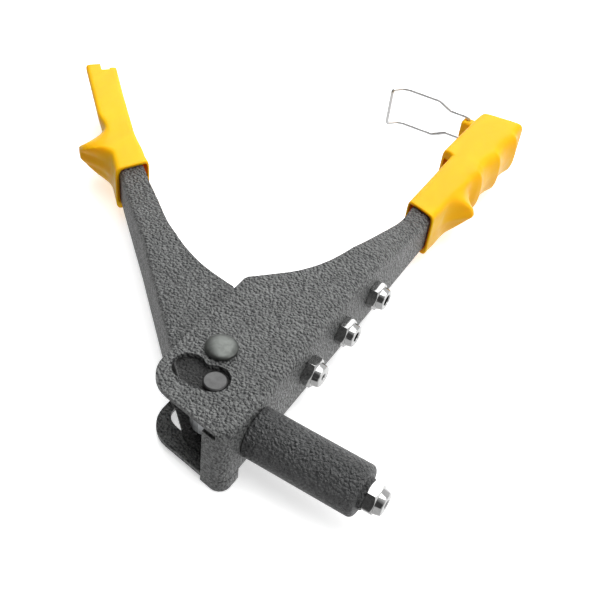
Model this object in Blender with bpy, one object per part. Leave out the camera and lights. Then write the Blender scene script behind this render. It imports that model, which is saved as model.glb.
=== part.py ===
"""Hand riveter: a single-hand pop-rivet plier, lying on its side with its handles open.

Lengths below are millimetres in the tool's own frame. +X runs along the barrel towards the nose,
+Y along the fixed handle towards its grip and +Z through the thickness. Zero is where the barrel
axis meets the front web, on the underside of the body's lower plate.
"""
import math
from typing import NamedTuple

import bmesh
import bpy
from mathutils import Matrix, Vector

MM = 0.001
MERGE = 0.0001
GAP = 0.3  # running clearance
FRAME_SHIFT = Vector((71.267, -109.936, 3.2))  # puts zero under the middle of the whole tool
CUT_Z = (-10.0, 45.0)  # reach of the cutters that go right through
CLEAR = 10.0  # how far a cutter runs past an open end

# body: pressed channel that is also the fixed handle
MID_Z = 15.5
BODY_HALF = 15.5
PLATE = 2.0
BODY_FOLD = 4.0
BODY_LEFT = -40.2
BODY_CORNER = [(-39.5, 52.7), (-37.8, 54.4)]
BODY_CORNER_Y = 50.8
LOBE = (-26.7, -2.04)
LOBE_R = 13.5
HEAD_Y = -20.2
HEAD_SLOPE = -0.1673
HEAD_CORNER_R = 4.8
TAB_LEFT = -11.0
TAB_TOP_SLIT = 2.4
TAB_FOOT_Z = (-2.6, 3.0)
TAB_FOOT_END_Y = -9.5
BODY_INNER = [(-33.3, 59.2), (-24.9, 68.8), (-18.1, 81.7), (-13.6, 98.7), (-10.6, 118.0),
              (-9.5, 128.0), (-10.3, 141.0)]
BODY_END_Y = 222.0
BODY_NECK = (95.0, 135.0)
NECK_HALF = 9.6
BODY_NECK_OUT = 1.5

# pivot and pull pin
PIVOT = (-25.4, 13.8)
PIVOT_R = 4.0
PIVOT_HEAD_R = 6.4
PIVOT_HEAD_RIM = 1.1
PIVOT_HEAD_TALL = 2.9
PIVOT_SPACER_R = 5.6
PIN = (-18.5, 0.0)
PIN_R = 3.5
PIN_HEAD_R = 4.6
PIN_ENDS = (0.0, 31.0)
PIN_HEAD_TALL = 1.4
PIN_CHAMFER = 0.5
PIN_SPACER_R = 5.5
KIDNEY_R = 14.6
KIDNEY_HALF = 6.4
KIDNEY_SPAN = (-109.0, -66.0)
KIDNEY_WAIST_R = 1.8

# moving handle, in its own frame: across (outwards from the pivot) and along
HANDLE_ANGLE = math.radians(138.0)
HANDLE_HALF = 13.2
HANDLE_FOLD = 3.5
HANDLE_WEB = 17.8
HANDLE_HEEL = 2.0
HANDLE_WEB_START = 6.0
HANDLE_INNER = [(-12.9, 34.3), (-7.3, 42.7), (-2.8, 50.8), (1.2, 61.5), (3.5, 71.1), (4.9, 81.5),
                (5.3, 96.7), (5.9, 110.0), (6.6, 123.0)]
HANDLE_SLIM = 10.6
HANDLE_SLIM_FROM = 140.0
HANDLE_END = 198.0
HANDLE_NECK = (70.0, 112.0)
HANDLE_NECK_OUT = 1.4
PIN_LOBE_R = 11.5
PIVOT_LOBE_R = 13.0

# barrel, its nut and washer: places along the barrel axis
BARREL_R = 10.2
BARREL_LEN = 45.8
BARREL_BORE = 8.25
BARREL_SHOULDER = 38.5
SPIGOT_R = 9.3
SPIGOT_END = -6.0
COLLAR_R = 6.2
NOSE_SEAT = 47.4
BARREL_NUT_AF = 21.4
BARREL_NUT_X = (-8.5, -2.3)
BARREL_NUT_LIP_R = 4.2
WASHER_X = (-6.0, -4.8)

# nosepieces, measured from the face they sit on
THREAD_R = 3.6
THREAD_HOLE_R = 4.0
NOSE_HEX_AF = 11.1
NOSE_HEX_LEN = 4.2
NOSE_LEN = 7.0
NOSE_TIP_R = 4.2
NOSE_SHANK = (-13.2, -9.0)
FITTED_BORE = 1.7
SPARE_BORES = (1.3, 2.1, 2.5)
SPARE_FIRST_Y = 37.3
SPARE_PITCH = 26.6

# jaws and what carries them, along the barrel axis
CASE_R = 7.9
CASE_X = (13.5, 36.0)
CASE_THREAD_END = 16.5
CONE = ((34.5, 4.3), (24.0, 6.3))
JAW_X = (25.0, 33.0)
JAW_INNER_R = 1.9
JAW_CLEAR = 0.36
JAW_HALF_ANGLE = 48.0
PUSHER = [(18.4, 1.7), (18.4, 2.7), (21.8, 2.7), (21.8, 5.8), (24.2, 5.8), (24.6, 5.3), (24.6, 1.7)]
LOCK_NUT_AF = 9.6
LOCK_NUT_X = (10.2, 13.2)
ROD_R = 3.3
ROD_X = (-13.0, 16.2)
ROD_CHAMFER = 0.4
YOKE_HALF = 6.0
YOKE_R = 8.4
YOKE_Y = -0.8
YOKE_NOSE = (-9.8, 4.4)
SLOT_HALF = 3.95
SLOT_Y = (-1.53, -0.1)

# springs: start, end, coil radius, wire radius, turns
RETURN_SPRING = (-4.5, 13.2, 6.9, 0.55, 4.5)
JAW_SPRING = (16.8, 21.5, 4.5, 0.42, 3.5)
COIL_STEPS = 14
COIL_SIDES = 7

# wire latch: plan place and height from the middle plane of one leg, hinge end first
LATCH = (-20.0, 233.2)
WIRE_R = 0.9
WIRE_SIDES = 10
LATCH_PATH = [(-20.0, 233.2, 2.2), (-20.0, 233.2, 6.2), (-21.2, 233.2, 6.9), (-30.5, 232.6, 6.9),
              (-37.5, 232.0, 10.5), (-55.0, 230.9, 10.5), (-58.4, 229.6, 10.5),
              (-61.6, 225.6, 10.5), (-62.0, 224.9, 9.6)]
LUG = ((-23.0, 229.8), (-12.0, 236.0))
LUG_HALF = 5.4
LUG_ROUND = 2.6
POCKET = ((-15.2, 180.0), (-12.2, 199.0))
POCKET_HALF = 7.0
CATCH = ((10.8, 204.8), (15.5, 217.0))
LEG_RELIEF = ((0.0, 205.4), (11.0, 218.0))
LEG_RELIEF_FROM = 8.6

GRIP_HALF = 11.8
GRIP_SQUARENESS = 6.7  # power of the superellipse the grips are drawn with
GRIP_SIDES = 32
RING_STEP = 2.2
END_ROUND = 1.4
MOUTH_LIP = 0.6
MOUTH_SLANT = (0.28, -3.5)  # how much the mouth leans across the grip, and where it stays put
MOUTH_REACH = 16.0
GUARD_SCOOP = 4.5
GUARD_POWER = (1.7, 1.6)  # how sharply the guard rises and falls
GUARD_LEAD_FROM = 0.3
FINGERS_START = (33.0, 42.0)
FINGERS_END = (12.0, 4.0)  # short of the grip's end
LEAN_START = (34.0, 46.0)
BULGE_POWER = 2.2
WAVE_PITCH = 19.3
WAVE_CREST = 44.4


class Guard(NamedTuple):
    """Finger guard: a wing whose mouth side is scooped out."""
    start: float
    tip: tuple  # from, to
    end: float
    height: float
    lead: float  # how much nearer the mouth its upper and lower edges crest
    upper: tuple  # level where it has faded away, and how late it fades
    lower: tuple


class Grip(NamedTuple):
    """One grip in the frame of its handle; curves give the offset from the web along the grip."""
    mouth: float
    length: float
    web: float
    inner: list
    outer: list
    hollow: list
    hollow_end: float
    guard: Guard
    marks: tuple  # extra stations where the shape turns sharply
    bulge: float  # how far the finger side swells at mid height
    wave: tuple  # depth of the finger hollows at mid height and what the edges add
    lean: float  # how much further out the upper edge stands than the middle
    slant: float  # how much the far end leans away across the grip


FIXED_GRIP = Grip(
    mouth=141.0, length=95.0, web=BODY_NECK_OUT,
    inner=[(0, -13.5), (30, -13.3), (48.8, -13.3), (51.4, -18.2), (84, -17.3), (100, -16.2)],
    outer=[(0, 1.9), (10, 2.4), (34, 4.0), (90, 6.2), (100, 6.4)],
    hollow=[(0, -12.2), (100, -12.2)], hollow_end=BODY_END_Y - 141.0 + 1.0,
    guard=Guard(10.0, (25.0, 26.5), 37.0, 8.4, 6.0, (0.95, 1.7), (0.88, 1.1)),
    marks=(48.8, 51.4), bulge=2.4, wave=(1.3, 0.7), lean=0.0, slant=0.15)
MOVING_GRIP = Grip(
    mouth=121.5, length=90.0, web=HANDLE_WEB + HANDLE_NECK_OUT,
    inner=[(0, -14.2), (8, -13.4), (30, -11.6), (60, -11.6), (90, -12.0)],
    outer=[(0, 2.2), (30, 2.2), (46, 1.9), (90, 1.9)],
    hollow=[(0, -13.2), (12, -9.7), (14, -9.2), (100, -9.2)], hollow_end=HANDLE_END - 121.5 + 1.0,
    guard=Guard(8.0, (25.5, 29.5), 41.0, 12.8, 9.0, (1.08, 4.0), (0.92, 1.5)),
    marks=(), bulge=0.0, wave=(0.0, 0.0), lean=2.4, slant=0.0)


def lerp(a, b, k):
    """Value between a and b."""
    return a + (b - a) * k


def ramp(value, start, end):
    """0 below start, 1 above end, a straight line between."""
    return min(max((value - start) / (end - start), 0.0), 1.0)


def smooth(value, start, end):
    """0 below start, 1 above end, a smooth S between."""
    k = ramp(value, start, end)
    return k * k * (3.0 - 2.0 * k)


def through(points, value):
    """Height at value of the smooth curve through (position, height) points."""
    for (x0, y0), (x1, y1) in zip(points, points[1:]):
        if value <= x1:
            return lerp(y0, y1, smooth(value, x0, x1))
    return points[-1][1]


def arc(centre, radius, start, end, steps):
    """Points on an arc, angles in degrees."""
    turn = [math.radians(lerp(start, end, i / steps)) for i in range(steps + 1)]
    return [(centre[0] + radius * math.cos(a), centre[1] + radius * math.sin(a)) for a in turn]


def curve_through(points, steps):
    """Catmull-Rom curve through plan points, both ends kept."""
    padded = [points[0]] + list(points) + [points[-1]]
    out = []
    for i in range(len(points) - 1):
        a, b, c, d = (Vector(p) for p in padded[i:i + 4])
        for step in range(steps):
            t = step / steps
            out.append(tuple(0.5 * (2 * b + (c - a) * t + (2 * a - 5 * b + 4 * c - d) * t * t
                                    + (3 * b - a - 3 * c + d) * t ** 3)))
    return out + [tuple(points[-1])]


def material(name, colour, roughness, metallic):
    """Principled material."""
    mat = bpy.data.materials.new(name)
    mat.use_nodes = True
    shader = mat.node_tree.nodes["Principled BSDF"]
    shader.inputs["Base Color"].default_value = (*colour, 1.0)
    shader.inputs["Roughness"].default_value = roughness
    shader.inputs["Metallic"].default_value = metallic
    return mat


def add_object(name, bm, origin, mat=None, crease=None):
    """Turns a mesh built in the tool's frame into an object whose origin is at the given point."""
    bmesh.ops.remove_doubles(bm, verts=bm.verts, dist=MERGE)
    bmesh.ops.recalc_face_normals(bm, faces=bm.faces)
    origin = Vector(origin)
    bmesh.ops.translate(bm, verts=bm.verts, vec=-origin)
    bmesh.ops.scale(bm, verts=bm.verts, vec=(MM, MM, MM))
    mesh = bpy.data.meshes.new(name)
    bm.to_mesh(mesh)
    bm.free()
    obj = bpy.data.objects.new(name, mesh)
    obj.location = (origin + FRAME_SHIFT) * MM
    bpy.context.scene.collection.objects.link(obj)
    if mat:
        mesh.materials.append(mat)
    if crease:
        mesh.shade_smooth()
        mesh.set_sharp_from_angle(angle=math.radians(crease))
    return obj


def guide(name, bm):
    """Wire-shown object that only takes part in a boolean."""
    obj = add_object(name, bm, (0, 0, 0))
    obj.hide_render = True
    obj.display_type = "WIRE"
    return obj


def combine(obj, other, operation):
    """Live boolean between two objects."""
    mod = obj.modifiers.new(other.name, "BOOLEAN")
    mod.operation = operation
    mod.solver = "EXACT"
    mod.object = other


def cut(obj, name, bm, operation="DIFFERENCE"):
    """Boolean of an object with a mesh built in the tool's frame."""
    combine(obj, guide(name, bm), operation)


def prism(outline, low, high):
    """Plan outline extruded between two heights."""
    bm = bmesh.new()
    face = bm.faces.new([bm.verts.new((x, y, low)) for x, y in outline])
    grown = bmesh.ops.extrude_face_region(bm, geom=[face])["geom"]
    top = [g for g in grown if isinstance(g, bmesh.types.BMVert)]
    bmesh.ops.translate(bm, verts=top, vec=(0, 0, high - low))
    bmesh.ops.recalc_face_normals(bm, faces=bm.faces)
    return bm


def block(corner, opposite, low, high):
    """Upright box over a plan rectangle."""
    (x0, y0), (x1, y1) = corner, opposite
    return prism([(x0, y0), (x1, y0), (x1, y1), (x0, y1)], low, high)


def turned(profile, axis, centre, steps=40):
    """Closed (along, radius) profile spun round the X or Z axis through a point."""
    bm = bmesh.new()
    if axis == "X":
        verts = [bm.verts.new((a, 0, r)) for a, r in profile]
        turn = Vector((1, 0, 0))
    else:
        verts = [bm.verts.new((r, 0, a)) for a, r in profile]
        turn = Vector((0, 0, 1))
    edges = [bm.edges.new((verts[i - 1], verts[i])) for i in range(len(verts))]
    bmesh.ops.spin(bm, geom=verts + edges, cent=(0, 0, 0), axis=turn, angle=2 * math.pi,
                   steps=steps, use_merge=True)
    bmesh.ops.remove_doubles(bm, verts=bm.verts, dist=MERGE)
    bmesh.ops.dissolve_degenerate(bm, dist=MERGE, edges=bm.edges)
    bmesh.ops.recalc_face_normals(bm, faces=bm.faces)
    bmesh.ops.translate(bm, verts=bm.verts, vec=centre)
    return bm


def tube(ends, inner, outer, axis, centre, steps=32):
    """Plain sleeve."""
    start, end = ends
    return turned([(start, inner), (start, outer), (end, outer), (end, inner)], axis, centre, steps)


def rod(ends, radius, axis, centre, steps=32):
    """Plain round bar."""
    return tube(ends, 0, radius, axis, centre, steps)


def hexagon(across_flats, flat_up):
    """Hexagon outline of a given size."""
    first = 0.0 if flat_up else 30.0
    return arc((0, 0), across_flats / math.sqrt(3), first, first + 300.0, 5)


def hexagon_along_x(across_flats, flat_up, start, end, y):
    """Hexagon bar lying along the barrel's direction."""
    bm = prism(hexagon(across_flats, flat_up), start, end)
    turn = Matrix(((0, 0, 1, 0), (1, 0, 0, y), (0, 1, 0, MID_Z), (0, 0, 0, 1)))
    bmesh.ops.transform(bm, matrix=turn, verts=bm.verts)
    return bm


def upright_edges_at(bm, chosen):
    """Edges in one plan section whose two ends satisfy the given test."""
    return [e for e in bm.edges if all(chosen(v.co) for v in e.verts)
            and abs(e.verts[0].co.z - e.verts[1].co.z) < GAP]


def fold(bm, on_web, radius, segments):
    """Rounds the long edges where the web turns into the plates."""
    bmesh.ops.bevel(bm, geom=upright_edges_at(bm, on_web), offset=radius, segments=segments,
                    profile=0.5, affect="EDGES", clamp_overlap=False)


def neck(bm, span, half, end_half, out):
    """Narrows a channel towards its grip and moves the web outwards, in straight lines."""
    for along in span:
        bmesh.ops.bisect_plane(bm, geom=bm.verts[:] + bm.edges[:] + bm.faces[:],
                               plane_co=(0, along, 0), plane_no=(0, 1, 0))
    for v in bm.verts:
        k = ramp(v.co.y, *span)
        v.co.z = MID_Z + (v.co.z - MID_Z) * lerp(1.0, end_half / half, k)
        v.co.x += out * k


def close_rings(bm, rings):
    """Joins closed rings of points into one closed skin."""
    count = len(rings[0])
    for a, b in zip(rings, rings[1:]):
        for i in range(count):
            j = (i + 1) % count
            bm.faces.new((a[i], a[j], b[j], b[i]))
    bm.faces.new(rings[0])
    bm.faces.new(rings[-1])


def handle_frame():
    """Matrix from the moving handle's own frame (across, along, up) to the tool's."""
    along = Vector((math.cos(HANDLE_ANGLE), math.sin(HANDLE_ANGLE), 0))
    across = Vector((-along.y, along.x, 0))
    rows = Matrix((across, along, (0, 0, 1))).transposed().to_4x4()
    return Matrix.Translation((*PIVOT, 0)) @ rows


def to_handle(bm):
    """Moves a mesh from the moving handle's frame into the tool's."""
    bmesh.ops.transform(bm, matrix=handle_frame(), verts=bm.verts)
    bmesh.ops.recalc_face_normals(bm, faces=bm.faces)
    return bm


def head_line(x, inset=0.0):
    """Place on the slanted end face of the body's head."""
    return HEAD_Y + HEAD_SLOPE * x + inset


def head_corner(inset=0.0):
    """Rounded outline where the head's end face turns into the web, from the head side."""
    radius = HEAD_CORNER_R - inset
    centre = (-HEAD_CORNER_R, head_line(-HEAD_CORNER_R, HEAD_CORNER_R))
    return arc(centre, radius, -99.5, 0, 5)


def kidney_outline():
    """Two lobes on an arc about the pivot, with a rounded waist on the pivot's side."""
    low, high = KIDNEY_SPAN
    middle = (low + high) / 2
    half_chord = KIDNEY_R * math.sin(math.radians(high - middle))
    reach = KIDNEY_HALF + KIDNEY_WAIST_R
    lean = math.degrees(math.asin(half_chord / reach))
    waist_at = (KIDNEY_R * math.cos(math.radians(high - middle))
                - reach * math.cos(math.radians(lean)))
    waist = arc(PIVOT, waist_at, middle, middle, 1)[0]
    last, first = arc(PIVOT, KIDNEY_R, high, low, 1)
    outline = arc(PIVOT, KIDNEY_R + KIDNEY_HALF, low, high, 8)[1:-1]
    outline += arc(last, KIDNEY_HALF, high, middle + lean + 180, 12)
    outline += arc(waist, KIDNEY_WAIST_R, middle + lean, middle - lean, 6)[1:-1]
    return outline + arc(first, KIDNEY_HALF, middle - lean + 180, low + 360, 12)


def build_body(mat):
    """Fixed channel with kidney slots, holes and head tab."""
    web_from = head_corner()[0][0]
    outline = head_corner()
    outline += [(0, BODY_END_Y), (BODY_INNER[-1][0], BODY_END_Y)]
    outline += curve_through(BODY_CORNER[1:] + BODY_INNER, 3)[::-1]
    outline += [BODY_CORNER[0], (BODY_LEFT, BODY_CORNER_Y)]
    outline += arc(LOBE, LOBE_R, 180, 260.5, 8)
    bm = prism(outline, MID_Z - BODY_HALF, MID_Z + BODY_HALF)
    fold(bm, lambda co: co.x > web_from + GAP, BODY_FOLD, 4)
    neck(bm, BODY_NECK, BODY_HALF, NECK_HALF, BODY_NECK_OUT)
    body = add_object("body_frame", bm, (0, 0, MID_Z), mat, 35)

    open_x = BODY_LEFT - 3 * CLEAR
    open_y = HEAD_Y - CLEAR
    hollow = prism([(-PLATE, head_line(-PLATE, PLATE)), (-PLATE, BODY_END_Y + CLEAR),
                    (open_x, BODY_END_Y + CLEAR), (open_x, open_y), (TAB_LEFT, open_y),
                    (TAB_LEFT, head_line(TAB_LEFT, PLATE))],
                   MID_Z - BODY_HALF + PLATE, MID_Z + BODY_HALF - PLATE)
    fold(hollow, lambda co: co.x > -PLATE - GAP, BODY_FOLD - PLATE, 3)
    neck(hollow, BODY_NECK, BODY_HALF - PLATE, NECK_HALF - PLATE, BODY_NECK_OUT)
    cut(body, "cut_body_hollow", hollow)

    cut(body, "cut_kidney", prism(kidney_outline(), *CUT_Z))
    cut(body, "cut_pivot_hole", rod(CUT_Z, PIVOT_R + GAP, "Z", (*PIVOT, 0)))
    wall = (-2 * PLATE, 2 * PLATE)
    cut(body, "cut_barrel_hole", rod(wall, SPIGOT_R + GAP, "X", (0, 0, MID_Z), 48))
    for i in range(3):
        y = SPARE_FIRST_Y + SPARE_PITCH * i
        cut(body, f"cut_spare_hole_{i + 1}", rod(wall, THREAD_HOLE_R, "X", (0, y, MID_Z), 24))
    slit_top = MID_Z + BODY_HALF - PLATE
    slit = block((TAB_LEFT - CLEAR, HEAD_Y - CLEAR), (-HEAD_CORNER_R, head_line(TAB_LEFT, PLATE)),
                 slit_top - TAB_TOP_SLIT, slit_top)
    cut(body, "cut_tab_slit", slit)
    foot = [(TAB_LEFT, head_line(TAB_LEFT, GAP / 10))] + head_corner(GAP / 10)
    foot += [(-GAP / 10, TAB_FOOT_END_Y), (-PLATE, TAB_FOOT_END_Y)] + head_corner(PLATE)[::-1]
    foot += [(TAB_LEFT, head_line(TAB_LEFT, PLATE))]
    cut(body, "cut_tab_foot", prism(foot, *TAB_FOOT_Z), "UNION")


def build_handle(mat):
    """Moving channel whose head plates run inside the body's plates."""
    pin = handle_frame().inverted() @ Vector((*PIN, 0))
    outline = arc(pin, PIN_LOBE_R, 2.5, -153, 12)
    outline += arc((0, 0), PIVOT_LOBE_R, -153, -180, 3)
    outline += curve_through(HANDLE_INNER, 3)
    outline += [(HANDLE_SLIM, HANDLE_SLIM_FROM), (HANDLE_SLIM, HANDLE_END),
                (HANDLE_WEB, HANDLE_END), (HANDLE_WEB, HANDLE_HEEL)]
    bm = prism(outline, MID_Z - HANDLE_HALF, MID_Z + HANDLE_HALF)
    fold(bm, lambda co: co.x > HANDLE_WEB - GAP, HANDLE_FOLD, 4)
    neck(bm, HANDLE_NECK, HANDLE_HALF, NECK_HALF, HANDLE_NECK_OUT)
    handle = add_object("moving_handle", to_handle(bm), (*PIVOT, MID_Z), mat, 35)

    inner = HANDLE_WEB - PLATE
    past_web = HANDLE_WEB + CLEAR
    open_x = -4 * CLEAR
    open_y = -4 * CLEAR
    hollow = prism([(inner, HANDLE_WEB_START), (inner, HANDLE_END + CLEAR),
                    (open_x, HANDLE_END + CLEAR), (open_x, open_y), (past_web, open_y),
                    (past_web, HANDLE_WEB_START)],
                   MID_Z - HANDLE_HALF + PLATE, MID_Z + HANDLE_HALF - PLATE)
    fold(hollow, lambda co: abs(co.x - inner) < GAP, HANDLE_FOLD - PLATE, 3)
    neck(hollow, HANDLE_NECK, HANDLE_HALF - PLATE, NECK_HALF - PLATE, HANDLE_NECK_OUT)
    cut(handle, "cut_handle_hollow", to_handle(hollow))
    cut(handle, "cut_handle_pivot", rod(CUT_Z, PIVOT_R + GAP, "Z", (*PIVOT, 0)))
    cut(handle, "cut_handle_pin", rod(CUT_Z, PIN_R + GAP, "Z", (*PIN, 0)))


def build_pivot(steel, zinc):
    """Domed rivet and the spacer tube round it."""
    top = MID_Z + BODY_HALF + GAP
    crown = PIVOT_HEAD_TALL - PIVOT_HEAD_RIM
    half = [(MID_Z, PIVOT_R), (top, PIVOT_R), (top, PIVOT_HEAD_R)]
    half += [(top + PIVOT_HEAD_RIM + crown * rise, PIVOT_HEAD_R * r)
             for r, rise in arc((0, 0), 1.0, 0, 90, 5)[:-1]]
    half.append((top + PIVOT_HEAD_TALL, 0))
    profile = half + [(2 * MID_Z - a, r) for a, r in reversed(half[1:])]
    add_object("pivot_rivet", turned(profile, "Z", (*PIVOT, 0)), (*PIVOT, MID_Z), steel, 40)
    inner = HANDLE_HALF - PLATE - GAP
    spacer = tube((MID_Z - inner, MID_Z + inner), PIVOT_R + GAP, PIVOT_SPACER_R, "Z", (*PIVOT, 0))
    add_object("pivot_spacer", spacer, (*PIVOT, MID_Z), zinc, 40)


def build_pin(steel, zinc):
    """Headed pull pin and the two tubes that centre the yoke on it."""
    low, high = PIN_ENDS
    half = [(high - PIN_HEAD_TALL, PIN_R), (high - PIN_HEAD_TALL, PIN_HEAD_R),
            (high - PIN_CHAMFER, PIN_HEAD_R), (high, PIN_HEAD_R - PIN_CHAMFER), (high, 0)]
    profile = half + [(low + high - a, r) for a, r in reversed(half)]
    add_object("pull_pin", turned(profile, "Z", (*PIN, 0), 36), (*PIVOT, MID_Z), steel, 40)
    inner = HANDLE_HALF - PLATE - GAP
    for name, side in (("pin_spacer_upper", 1), ("pin_spacer_lower", -1)):
        ends = sorted((MID_Z + side * (YOKE_HALF + GAP), MID_Z + side * inner))
        spacer = tube(ends, PIN_R + GAP, PIN_SPACER_R, "Z", (*PIN, 0))
        add_object(name, spacer, (*PIVOT, MID_Z), zinc, 40)


def build_barrel(black, zinc):
    """Barrel, its retaining nut and the spring's washer."""
    axis = (0, 0, MID_Z)
    profile = [(SPIGOT_END, BARREL_BORE), (SPIGOT_END, SPIGOT_R), (GAP, SPIGOT_R), (GAP, BARREL_R),
               (BARREL_LEN - 1.4, BARREL_R), (BARREL_LEN - 0.3, BARREL_R - 0.9),
               (BARREL_LEN, BARREL_R - 1.9), (BARREL_LEN, COLLAR_R), (NOSE_SEAT - GAP, COLLAR_R),
               (NOSE_SEAT, COLLAR_R - GAP), (NOSE_SEAT, THREAD_HOLE_R),
               (BARREL_SHOULDER, THREAD_HOLE_R), (BARREL_SHOULDER, BARREL_BORE)]
    add_object("barrel", turned(profile, "X", axis, 48), axis, black, 40)

    start, end = BARREL_NUT_X
    lip = SPIGOT_END - GAP
    nut = add_object("barrel_nut", hexagon_along_x(BARREL_NUT_AF, True, start, end, 0), axis, zinc,
                     40)
    bore = turned([(start - 1, 0), (start - 1, BARREL_NUT_LIP_R), (lip, BARREL_NUT_LIP_R),
                   (lip, SPIGOT_R + GAP), (end + 1, SPIGOT_R + GAP), (end + 1, 0)], "X", axis)
    cut(nut, "cut_nut_bore", bore)
    washer = tube(WASHER_X, ROD_R + 0.5, BARREL_BORE - GAP, "X", axis, 36)
    add_object("spring_washer", washer, axis, zinc, 40)


def build_nosepiece(name, seat, y, bore, chrome):
    """Hexagon nosepiece with a threaded shank and a cone that opens the jaws."""
    axis = (seat, y, MID_Z)
    across = NOSE_HEX_AF / 2
    corner = NOSE_HEX_AF / math.sqrt(3)
    tip, shoulder = NOSE_SHANK
    shank = turned([(tip, bore), (tip, bore + 0.7), (shoulder, THREAD_R), (0.5, THREAD_R),
                    (NOSE_HEX_LEN - 0.5, NOSE_TIP_R + 0.7), (NOSE_LEN - 0.4, NOSE_TIP_R + 0.4),
                    (NOSE_LEN, NOSE_TIP_R), (NOSE_LEN, bore)], "X", axis, 32)
    piece = add_object(name, shank, axis, chrome, 35)
    hexed = guide(f"guide_{name}_hex",
                  hexagon_along_x(NOSE_HEX_AF, True, seat, seat + NOSE_HEX_LEN, y))
    inside = THREAD_R - 1.2
    round_off = turned([(-1, inside), (-1, corner - 1.0), (0.5, corner),
                        (NOSE_HEX_LEN - 0.7, corner), (NOSE_HEX_LEN, across - 0.2),
                        (NOSE_HEX_LEN + 1, across - 0.4), (NOSE_HEX_LEN + 1, inside)],
                       "X", axis, 32)
    cut(hexed, f"guide_{name}_round", round_off, "INTERSECT")
    combine(piece, hexed, "UNION")


def build_jaw(name, turn, mat):
    """One of three jaws, a tapered segment against the case's cone."""
    (front, front_r), (back, back_r) = CONE
    slope = (back_r - front_r) / (front - back)
    reach = [math.radians(turn + JAW_HALF_ANGLE * k) for k in (-1.0, -0.5, 0.0, 0.5, 1.0)]
    bm = bmesh.new()
    rings = []
    for x in JAW_X:
        outer = front_r + (front - x) * slope - JAW_CLEAR
        loop = [(JAW_INNER_R, a) for a in reach] + [(outer, a) for a in reversed(reach)]
        rings.append([bm.verts.new((x, r * math.cos(a), MID_Z + r * math.sin(a)))
                      for r, a in loop])
    close_rings(bm, rings)
    add_object(name, bm, (0, 0, MID_Z), mat, 40)


def build_jaw_case(case_mat, jaw_mat, zinc):
    """Jaw case with its three jaws, pusher and lock nut."""
    axis = (0, 0, MID_Z)
    (front, front_r), (back, back_r) = CONE
    start, end = CASE_X
    case = turned([(start, THREAD_R), (start, CASE_R - 0.6), (start + 0.6, CASE_R),
                   (end - 0.8, CASE_R), (end, CASE_R - 0.8), (end, front_r), (front, front_r),
                   (back, back_r), (CASE_THREAD_END, back_r + 0.1), (CASE_THREAD_END, THREAD_R)],
                  "X", axis)
    add_object("jaw_case", case, axis, case_mat, 40)
    for i in range(3):
        build_jaw(f"jaw_{i + 1}", 90 + 120 * i, jaw_mat)
    add_object("jaw_pusher", turned(PUSHER, "X", axis, 32), axis, jaw_mat, 40)
    start, end = LOCK_NUT_X
    nut = add_object("lock_nut", hexagon_along_x(LOCK_NUT_AF, True, start, end, 0), axis, zinc, 40)
    cut(nut, "cut_lock_nut_bore", rod((start - 1, end + 1), THREAD_R, "X", axis))


def build_rod(mat):
    """Pull rod with the slotted yoke that the pull pin works in."""
    axis = (0, 0, MID_Z)
    nose_x, nose_half = YOKE_NOSE
    outline = arc((PIN[0], YOKE_Y), YOKE_R, 40, 320, 16)
    outline += [(nose_x, -nose_half), (nose_x, nose_half)]
    yoke = prism(outline, MID_Z - YOKE_HALF, MID_Z + YOKE_HALF)
    yoke = add_object("pull_rod", yoke, axis, mat, 40)
    start, end = ROD_X
    stem = turned([(start, 0), (start, ROD_R), (end - ROD_CHAMFER, ROD_R),
                   (end, ROD_R - ROD_CHAMFER), (end, 0)], "X", axis, 32)
    low, high = SLOT_Y
    slot = arc((PIN[0], high), SLOT_HALF, 0, 180, 10) + arc((PIN[0], low), SLOT_HALF, 180, 360, 10)
    cut(yoke, "guide_rod_stem", stem, "UNION")
    cut(yoke, "cut_yoke_slot", prism(slot, *CUT_Z))


def build_spring(name, dims, mat):
    """Compression spring along the barrel axis, with closed ends."""
    start, end, radius, wire, turns = dims
    bm = bmesh.new()
    rings = []
    total = int(turns * COIL_STEPS)
    for i in range(total + 1):
        along = lerp(start + wire, end - wire, smooth(i / total, -0.06, 1.06))
        turn = 2 * math.pi * turns * i / total
        out = Vector((0, math.cos(turn), math.sin(turn)))
        centre = Vector((along, 0, MID_Z)) + out * radius
        rings.append([bm.verts.new(centre + out * across + Vector((depth, 0, 0)))
                      for across, depth in arc((0, 0), wire, 0, 360, COIL_SIDES)[:-1]])
    close_rings(bm, rings)
    add_object(name, bm, (0, 0, MID_Z), mat, 50)


def guard_height(t, height, guard):
    """How far the finger guard stands out at a place along the grip and a level up its side."""
    fade, power = guard.upper if height > 0 else guard.lower
    level = min(abs(height) / fade, 1.0)
    lead = guard.lead * ramp(abs(height), GUARD_LEAD_FROM, 1.0)
    tip_from, tip_to = guard.tip
    climb, fall = GUARD_POWER
    if t < tip_from - lead:
        rise = ramp(t, guard.start + GUARD_SCOOP * level, tip_from - lead) ** climb
    else:
        rise = (1 - ramp(t, tip_to - lead, guard.end - lead)) ** fall
    return guard.height * rise * (1 - level ** power)


def squared_circle():
    """Directions round a superellipse of half-width 1, evenly turned."""
    points = []
    for k in range(GRIP_SIDES):
        a = 2 * math.pi * (k + 0.5) / GRIP_SIDES
        c, s = math.cos(a), math.sin(a)
        reach = (abs(c) ** GRIP_SQUARENESS + abs(s) ** GRIP_SQUARENESS) ** (-1 / GRIP_SQUARENESS)
        points.append((c * reach, s * reach))
    return points


def hollow_ring(t, inner, outer, half):
    """Section of a grip's hollow: rounded on the web side, square on the open side."""
    middle = (outer + inner) / 2
    across = (outer - inner) / 2
    ring = []
    for side, height in squared_circle():
        if side < 0:
            square = max(abs(side), abs(height))
            side /= square
            height /= square
        ring.append(Vector((middle + across * side, t, MID_Z + half * height)))
    return ring


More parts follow.
